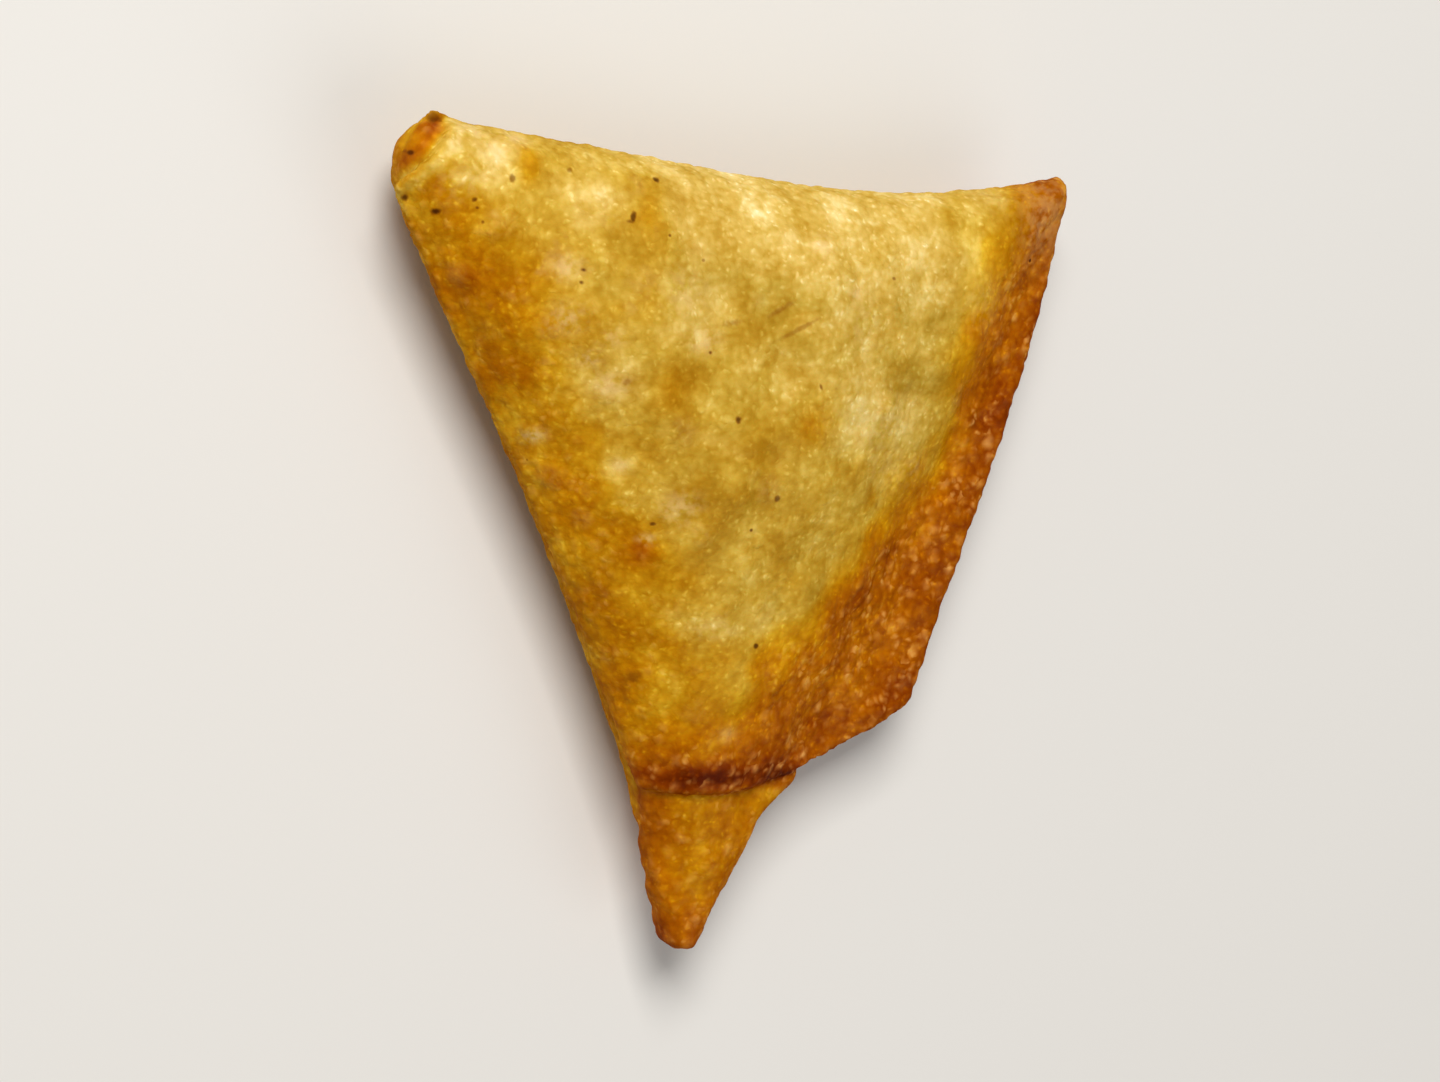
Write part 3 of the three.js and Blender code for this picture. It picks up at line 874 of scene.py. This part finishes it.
# The tip is amber, and browner along both its folds and at its end.
TIP_BROWN = 0.5
TIP_FOLD_BROWN = 0.2
TIP_LEFT_REACH = 1.4
TIP_SIDE_SHARE = 0.6
TIP_SIDE_REACH = 2
TIP_END_BROWN = 0.12
TIP_END_START = 80
TIP_END_FADE = 6
BACK_TIP_IN = 3
BACK_TIP_FADE = 4
tip_folds = fade(np.maximum(from_packet_left(x, y), 0), TIP_LEFT_REACH)
tip_folds = tip_folds + TIP_SIDE_SHARE * fade(np.maximum(from_packet_side(x, y), 0), TIP_SIDE_REACH)
tip_browning = TIP_BROWN + TIP_FOLD_BROWN * tip_folds
tip_browning = tip_browning + TIP_END_BROWN * smooth((down - TIP_END_START) / TIP_END_FADE)
on_tip = np.maximum(past_cut, smooth((down - SHEET_END + BACK_TIP_IN) / BACK_TIP_FADE))
browning = mix(browning, tip_browning, on_tip)

# The open corner at the top left: the layer under it is brown, with painted shade darkest in the
# crevice, and a painted highlight makes the lip over it pale.
CORNER_LAYER_BROWN = 0.58
CORNER_LAYER_STEP = 0.8
BY_CORNER = 14
BY_CORNER_FADE = 3
CREVICE_SHADE = 0.2
CREVICE_REACH = 0.5
LIP_HIGHLIGHT = 0.14
LIP_HIGHLIGHT_REACH = 0.7
LIP_OFFSET = 0.6
past_lip = left_of(x, y, CORNER_TOP, CORNER_LOW)
by_corner = smooth((BY_CORNER - x) / BY_CORNER_FADE) * front
under_lip = CORNER_LAYER_BROWN * smooth(past_lip / -CORNER_LAYER_STEP)
browning = np.maximum(browning, under_lip * by_corner)
# Painted shade in the crevice outside the lip, and a painted highlight on the lip.
crevice_shade_and_lip_highlight = CREVICE_SHADE * hump(past_lip, -LIP_OFFSET, CREVICE_REACH)
crevice_shade_and_lip_highlight = crevice_shade_and_lip_highlight - LIP_HIGHLIGHT * hump(past_lip, LIP_OFFSET, LIP_HIGHLIGHT_REACH)
browning = uneven(browning + crevice_shade_and_lip_highlight * by_corner, patchy=0.02, broken=0.015)

# Duller where the filling shows through, with painted shade and painted light from the patches, and
# creamy on the blisters over it.
BLISTER_CREAM = 0.15
dull = uneven(0, wide=0.1, patchy=0.08)
cream = BLISTER_CREAM * blister * (1 - crisp)
for (patch_x, patch_y), (across, along), browner, duller_and_shaded, creamier in PATCHES:
    near = front * np.exp(-(((x - patch_x) / across) ** 2) - ((y - patch_y) / along) ** 2)
    browning = browning + browner * near
    dull = dull + duller_and_shaded * near
    cream = cream + creamier * near

# The filling tints the middle of the crust khaki, unevenly.
KHAKI_MARGIN = 7
KHAKI_LEAD = 2
KHAKI_FADE = 9
khaki = smooth((np.minimum(left - KHAKI_MARGIN, top - KHAKI_MARGIN) + KHAKI_LEAD) / KHAKI_FADE)
khaki = clamp(khaki * uneven(0.6, wide=0.2, patchy=0.2, broken=0.12))
paint_values("browning", browning)
paint_values("crisp", crisp)
paint_values("khaki", khaki)
paint_values("dull", dull)
paint_values("cream", clamp(cream))
paint_values("front", front)


def paint(red, green, blue):
    """A colour named by its 0 to 255 display values, as linear light."""
    def linear(value):
        share = value / 255
        return share / 12.92 if share <= 0.04045 else ((share + 0.055) / 1.055) ** 2.4
    return (linear(red), linear(green), linear(blue), 1)


class Wire:
    """A socket in the node tree being built, on which sums add Math nodes."""

    tree = None

    def __init__(self, socket):
        self.socket = socket

    @classmethod
    def node(cls, kind, settings=None, inputs=None, output=0):
        """Adds a node: its settings first, a ramp's stops among them, then its sockets."""
        made = cls.tree.nodes.new(kind)
        for name, value in (settings or {}).items():
            if name == "stops":
                cls.set_stops(made.color_ramp.elements, value)
            else:
                setattr(made, name, value)
        for name, value in (inputs or {}).items():
            if isinstance(value, Wire):
                cls.tree.links.new(value.socket, made.inputs[name])
            else:
                made.inputs[name].default_value = value
        return cls(made.outputs[output]) if made.outputs else None

    @staticmethod
    def set_stops(elements, stops):
        while len(elements) < len(stops):
            elements.new(1)
        for element, (position, colour) in zip(elements, stops):
            element.position = position
            element.color = colour

    def math(self, operation, *others):
        return Wire.node("ShaderNodeMath", {"operation": operation},
                         dict(enumerate((self, *others))))

    def __add__(self, other):
        return self.math("ADD", other)

    def __sub__(self, other):
        return self.math("SUBTRACT", other)

    def __rsub__(self, other):
        return Wire.node("ShaderNodeMath", {"operation": "SUBTRACT"}, {0: other, 1: self})

    def __mul__(self, other):
        return self.math("MULTIPLY", other)

    __radd__ = __add__
    __rmul__ = __mul__

    def within(self, low, high):
        """0 below low and 1 above high, with a smooth step between."""
        return Wire.node("ShaderNodeMapRange", {"interpolation_type": "SMOOTHSTEP"},
                         {"Value": self, "From Min": low, "From Max": high})


def value_of(name):
    return Wire.node("ShaderNodeAttribute", {"attribute_name": name}, output="Fac")


def tinted(base, colour, share, blend="MIX"):
    """One colour laid over another by a share."""
    return Wire.node("ShaderNodeMix", {"data_type": "RGBA", "blend_type": blend},
                     {0: share, 6: base, 7: colour}, output=2)


def noise(place, size, detail=3, roughness=0.55):
    """Soft noise from 0 to 1, whose lumps are about a size in metres across."""
    return Wire.node("ShaderNodeTexNoise", None,
                     {"Vector": place, "Scale": 1 / size, "Detail": detail, "Roughness": roughness})


def cells(place, size, output="Distance"):
    """Cells about a size in metres across: the way to a cell's middle, or its own draw."""
    return Wire.node("ShaderNodeTexVoronoi", {"feature": "F1"},
                     {"Vector": place, "Scale": 1 / size}, output=output)


def beads(place, size):
    """Round beads, one in each cell, of heights from 0 to 1 that each cell draws."""
    dome = 1 - cells(place, size).within(0.05, 0.75)
    return dome * cells(place, size, "Color").within(0.2, 0.8)


def between(low, high, share):
    """A number part of the way from one to another."""
    return low + (high - low) * share


CRUST = (
    (0.00, paint(238, 208, 120)),
    (0.15, paint(226, 191, 98)),
    (0.30, paint(208, 167, 57)),
    (0.40, paint(198, 144, 20)),
    (0.50, paint(190, 124, 4)),
    (0.62, paint(182, 104, 2)),
    (0.75, paint(163, 84, 2)),
    (0.85, paint(148, 66, 2)),
    (1.00, paint(104, 36, 2)),
)
KHAKI = paint(184, 152, 57)
CREAM = paint(234, 196, 132)
TAN_AND_HIGHLIGHT = paint(220, 158, 84)
BURNT = paint(134, 70, 8)
SCORCH = paint(58, 22, 6)

# What a little more or less browning does to a colour, and painted highlights and painted shade as
# well: it is divided or multiplied by a power of the number e, a small one for red, a larger one
# for green, the largest for blue.
STAIN_AND_SHADE_POWERS = (0.73, 1.15, 2.9)
STAIN_AND_SHADE_REACH = 0.55
STAIN_AND_SHADE_STOPS = (0, 0.25, 0.5, 0.75, 1)


def stain_and_shade_colour(share):
    """The factors for red, green and blue: below 1 at shares under a half, above 1 over it."""
    reach = STAIN_AND_SHADE_REACH * (2 * share - 1)
    return (*(math.exp(reach * power) for power in STAIN_AND_SHADE_POWERS), 1)


STAIN_AND_SHADE = [(share, stain_and_shade_colour(share)) for share in STAIN_AND_SHADE_STOPS]

# Burnt marks on the front: the place, half the length and width, the turn in degrees, and how
# dark each is. Round flecks of spice come first, then smears, then the burnt tip of the corner.
BURNS = (
    ((7.2, -9.4), (0.42, 0.34), 0, 1.0),
    ((10.7, -7.8), (0.28, 0.24), 0, 0.8),
    ((11.0, -8.6), (0.20, 0.16), 0, 0.7),
    ((14.7, -5.3), (0.42, 0.34), 70, 0.6),
    ((21.3, -3.9), (0.30, 0.24), 0, 0.5),
    ((27.9, -8.1), (0.48, 0.28), 70, 0.85),
    ((27.4, -8.6), (0.52, 0.22), 10, 0.6),
    ((31.5, -4.1), (0.40, 0.28), 10, 0.9),
    ((22.1, -13.9), (0.30, 0.26), 0, 0.9),
    ((21.9, -15.2), (0.26, 0.24), 0, 0.8),
    ((36.9, -21.4), (0.24, 0.20), 0, 0.8),
    ((35.8, -11.9), (0.22, 0.18), 0, 0.5),
    ((40.4, -28.1), (0.34, 0.42), 0, 0.85),
    ((46.4, -36.4), (0.40, 0.34), 0, 0.8),
    ((32.7, -39.8), (0.30, 0.20), 0, 0.8),
    ((50.4, -24.2), (0.36, 0.18), 120, 0.6),
    ((59.8, -12.2), (0.30, 0.22), 0, 0.6),
    ((47.1, -52.6), (0.32, 0.28), 0, 0.9),
    ((34.4, -56.8), (0.75, 0.60), 60, 0.5),
    ((27.6, -25.0), (0.50, 0.36), 40, 0.4),
    ((39.4, -18.1), (1.10, 0.40), 15, 0.4),
    ((45.0, -16.4), (2.10, 0.32), 31, 0.42),
    ((47.2, -18.3), (3.10, 0.28), 29, 0.4),
    ((5.1, -3.7), (0.30, 0.26), 0, 0.9),
    ((4.4, -4.4), (0.26, 0.22), 0, 0.8),
    ((3.7, -5.9), (0.42, 0.28), 120, 0.9),
    ((4.4, -8.2), (0.40, 0.26), 120, 0.9),
    ((7.7, 0.2), (1.30, 0.55), 5, 1.0),
)

crust = bpy.data.materials.new("fried_pastry")
crust.use_nodes = True
crust.node_tree.nodes.clear()
Wire.tree = crust.node_tree

# Sizes in metres of what makes the pattern: beads are bubbles along the crisp edges, pips are the
# small ones between them, glints are painted highlights, small specks of light on the oil, and gaps
# are the lines between pips, where shade is painted. Their lattice is swayed, so that no row of
# them is straight, and they stand in clumps.
BEAD_SIZE = 0.0016
PIP_SIZE = 0.0009
GLINT_SIZE = 0.0007
SWAY_SIZE = 0.0014
CLUMP_SIZE = 0.0035
CLOUD_SIZE = 0.0056
MOTTLE_SIZE = 0.0045
MOTE_SIZE = 0.001
GRAIN_SIZE = 0.0006
GRIT_SIZE = 0.00035
CLUMP_HEIGHTS = (0.4, 1.3)

place = Wire.node("ShaderNodeTexCoord", output="Object")
crisp_share = value_of("crisp")
front_share = value_of("front")
sway = Wire.node("ShaderNodeTexNoise", None,
                 {"Vector": place, "Scale": 1 / SWAY_SIZE}, output="Color")
crooked = Wire.node("ShaderNodeVectorMath", {"operation": "MULTIPLY_ADD"},
                    {0: sway, 1: (SWAY_SIZE, SWAY_SIZE, SWAY_SIZE), 2: place})
clump = between(*CLUMP_HEIGHTS, noise(place, CLUMP_SIZE, detail=2).within(0.35, 0.65))
bead = beads(crooked, BEAD_SIZE) * clump
pip = beads(crooked, PIP_SIZE) * clump
# Glints: painted highlights, tiny bright specks.
glint = beads(crooked, GLINT_SIZE)
glint = glint * glint
# Gaps: painted shade in the lines between pips.
gap = cells(crooked, PIP_SIZE).within(0.5, 0.9)
cloud = noise(place, CLOUD_SIZE, roughness=0.9) - 0.5
mottle = noise(place, MOTTLE_SIZE, detail=2) - 0.5
grain = noise(place, GRAIN_SIZE, detail=1) - 0.5
motes = noise(place, MOTE_SIZE, detail=2) - 0.5

# How much lighter the crust is than its browning says: soft clouds, beads and pips that stand out
# where it is crisp, their tops partly a painted highlight, grain, and glints, which are painted
# highlights, and darker with painted shade in the gaps and where it is dull, the dull patches
# holding painted shade and painted light too. Beads, pips, glints and gaps count from their means.
# Where it is crisp, what is darker is browner too.
BEAD_MEAN = 0.2
GLINT_MEAN = 0.1
GAP_MEAN = 0.2
CRISP_CLOUDS = 0.1
CLOUD_LIGHT = 1.5
BEAD_LIGHTS = (0.04, 0.3)
PIP_LIGHTS = (0.12, 0.26)
GRAIN_LIGHT = 0.16
GLINT_LIGHT = 0.3
GAP_SHADE = 0.1
DULL_SHADE = 0.42
MOTTLE_TONE = 0.2
CRISP_TONE = 0.2
light = CLOUD_LIGHT * cloud * (1 + CRISP_CLOUDS * crisp_share)
light = light + (bead - BEAD_MEAN) * between(*BEAD_LIGHTS, crisp_share)
light = light + (pip - BEAD_MEAN) * between(*PIP_LIGHTS, crisp_share) + GRAIN_LIGHT * grain
light = light + GLINT_LIGHT * (glint - GLINT_MEAN) - GAP_SHADE * (gap - GAP_MEAN)
light = light - DULL_SHADE * value_of("dull")
tone = value_of("browning") + MOTTLE_TONE * mottle - CRISP_TONE * light * crisp_share

# The colour: the crust's browning, the filling's khaki where it is pale, the stain of more or less
# browning with painted highlights and painted shade in it, tan on the beads, which is partly their
# own paler colour and partly a painted highlight, and cream on the blisters.
KHAKI_SHARE = 0.75
TAN_AND_HIGHLIGHT_SHARE = 0.4
CREAM_SHARE = 0.65
CREAM_LEVEL = 0.6
CREAM_MOTES = 2.5
CREAM_CLOUDS = 2
colour = Wire.node("ShaderNodeValToRGB", {"stops": CRUST}, {"Fac": tone})
tint = value_of("khaki") * mottle.within(-0.2, 0.15) * (1 - tone.within(0.3, 0.5))
colour = tinted(colour, KHAKI, tint * KHAKI_SHARE)
# The crust's lightness, painted highlights and painted shade among it, multiplies the colour.
stain_and_shade = Wire.node("ShaderNodeValToRGB", {"stops": STAIN_AND_SHADE}, {"Fac": 0.5 + light})
colour = tinted(colour, stain_and_shade, 1.0, "MULTIPLY")
# Tan on the bead and pip tops: partly their own paler colour, partly a painted highlight.
tops = bead * bead * crisp_share + pip * pip * crisp_share
colour = tinted(colour, TAN_AND_HIGHLIGHT, tops * TAN_AND_HIGHLIGHT_SHARE)
broken_cream = CREAM_LEVEL + CREAM_MOTES * motes + CREAM_CLOUDS * cloud
creamy = value_of("cream") * broken_cream.within(0.1, 0.9)
colour = tinted(colour, CREAM, creamy * CREAM_SHARE)

# Burnt flecks of spice: a few tiny ones all over, and the large ones on the front, each an
# oval with a frayed edge. They are brown at their rims and nearly black in the middle.
FLECK_SPACING = 0.005
FRAY = 1.6
BURNT_SHARE = 0.6
SCORCH_SHARE = 0.9
fleck = 1 - cells(place, FLECK_SPACING).within(0.02, 0.07)
burnt = fleck * cells(place, FLECK_SPACING, "Color").within(0.3, 0.7)
flat_place = Wire.node("ShaderNodeVectorMath", {"operation": "MULTIPLY"}, {0: place, 1: (1, 1, 0)})
for (burn_x, burn_y), (along, across), turn, darkness in BURNS:
    oval = Wire.node("ShaderNodeMapping", {"vector_type": "TEXTURE"}, {
        "Vector": flat_place,
        "Location": ((burn_x + shift[0]) * MM, (burn_y + shift[1]) * MM, 0),
        "Rotation": (0, 0, math.radians(turn)),
        "Scale": (along * MM, across * MM, 1),
    })
    way = Wire.node("ShaderNodeVectorMath", {"operation": "LENGTH"}, {0: oval}, output="Value")
    inside = 1 - (way + FRAY * motes).within(0.3, 1.6)
    burnt = burnt.math("MAXIMUM", inside * front_share * darkness)
colour = tinted(colour, BURNT, burnt.within(0, 0.6) * BURNT_SHARE)
colour = tinted(colour, SCORCH, burnt.within(0.35, 1.1) * SCORCH_SHARE)

# The finest relief is a bump a tenth of a millimetre high, on a dry crust with a thin film of
# oil, which lets a little light in.
PIP_BUMP = 0.5
GRIT_BUMP = 0.8
CRUST_ROUGHNESS = 0.5
BEAD_GLOSS = 0.15
grit = noise(place, GRIT_SIZE, detail=2)
bump = Wire.node("ShaderNodeBump", None,
                 {"Strength": 0.6, "Distance": 0.00012,
                  "Height": bead + PIP_BUMP * pip + GRIT_BUMP * grit},
                 output="Normal")
finish = Wire.node("ShaderNodeBsdfPrincipled", None, {
    "Base Color": colour,
    "Roughness": CRUST_ROUGHNESS - BEAD_GLOSS * bead,
    "Normal": bump,
    "Specular IOR Level": 0.0,
    "Subsurface Weight": 0.1,
    "Subsurface Scale": 0.0015,
    "Coat Weight": 0.05,
    "Coat Roughness": 0.22,
})
Wire.node("ShaderNodeOutputMaterial", None, {"Surface": finish})
fused.materials.clear()
fused.materials.append(crust)

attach(samosa, "root")
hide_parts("samosa")


# ---------------------------------------------------------------------------------------
# The floor: a plain pale board, which isn't part of the samosa.

FLOOR_SIZE = 3.0
BOARD_GRAIN = 0.3
BOARD_DARK = (0.78, 0.77, 0.75, 1)
BOARD_LIGHT = (0.82, 0.81, 0.79, 1)
floor_mesh = bpy.data.meshes.new("floor")
half = FLOOR_SIZE / 2
floor_mesh.from_pydata([(-half, -half, 0), (half, -half, 0), (half, half, 0), (-half, half, 0)],
                       [], [(0, 1, 2, 3)])
floor = bpy.data.objects.new("floor", floor_mesh)
bpy.context.collection.objects.link(floor)
board = bpy.data.materials.new("pale_board")
board.use_nodes = True
board.node_tree.nodes.clear()
Wire.tree = board.node_tree
board_place = Wire.node("ShaderNodeTexCoord", output="Object")
board_colour = tinted(BOARD_DARK, BOARD_LIGHT, noise(board_place, BOARD_GRAIN))
board_finish = Wire.node("ShaderNodeBsdfPrincipled", None,
                         {"Base Color": board_colour, "Roughness": 0.8})
Wire.node("ShaderNodeOutputMaterial", None, {"Surface": board_finish})
floor_mesh.materials.append(board)


# ---------------------------------------------------------------------------------------
# Soft studio light: one lamp up beyond the top fold, a weaker and larger one up beyond the side
# fold, and an even glow all round.

def lamp(name, place, size, power, colour):
    """A square area lamp at a place, turned to face the samosa."""
    light = bpy.data.lights.new(name, "AREA")
    light.size = size
    light.energy = power
    light.color = colour
    body = bpy.data.objects.new(name, light)
    back = np.array(place) / np.linalg.norm(place)
    right = np.cross((0, 0, 1), back)
    right = right / np.linalg.norm(right)
    up = np.cross(back, right)
    turn = np.eye(4)
    turn[:3, 0], turn[:3, 1], turn[:3, 2], turn[:3, 3] = right, up, back, place
    body.matrix_world = Matrix(turn.tolist())
    bpy.context.collection.objects.link(body)


lamp("key", place=(-0.3, 0.5, 0.75), size=0.4, power=8, colour=(1, 0.97, 0.92))
lamp("fill", place=(0.5, -0.5, 0.7), size=0.8, power=2.5, colour=(1, 0.98, 0.96))

GLOW_COLOUR = (1, 0.97, 0.93, 1)
GLOW_STRENGTH = 0.2
world = bpy.data.worlds.new("studio")
bpy.context.scene.world = world
world.use_nodes = True
glow = world.node_tree.nodes["Background"]
glow.inputs["Color"].default_value = GLOW_COLOUR
glow.inputs["Strength"].default_value = GLOW_STRENGTH
bpy.context.scene.view_settings.view_transform = "Standard"


# ---------------------------------------------------------------------------------------
# The camera looks down on the samosa's face from the side of its long edge, turned so that
# the top fold runs across the picture.

CAMERA_FROM_CORNER = np.array((-143.25, -0.37, 349.74))
CAMERA_RIGHT = (0.8799, 0.0982, 0.4649)
CAMERA_UP = (-0.0369, 0.9896, -0.1392)
CAMERA_BACK = (-0.4737, 0.1053, 0.8744)
LENS = 91.8
SENSOR_WIDTH = 36

camera_data = bpy.data.cameras.new("camera")
camera_data.lens = LENS
camera_data.sensor_width = SENSOR_WIDTH
camera = bpy.data.objects.new("camera", camera_data)
pose = np.eye(4)
pose[:3, 0], pose[:3, 1], pose[:3, 2] = CAMERA_RIGHT, CAMERA_UP, CAMERA_BACK
pose[:3, 3] = (CAMERA_FROM_CORNER + shift) * MM
camera.matrix_world = Matrix(pose.tolist())
bpy.context.collection.objects.link(camera)
bpy.context.scene.camera = camera
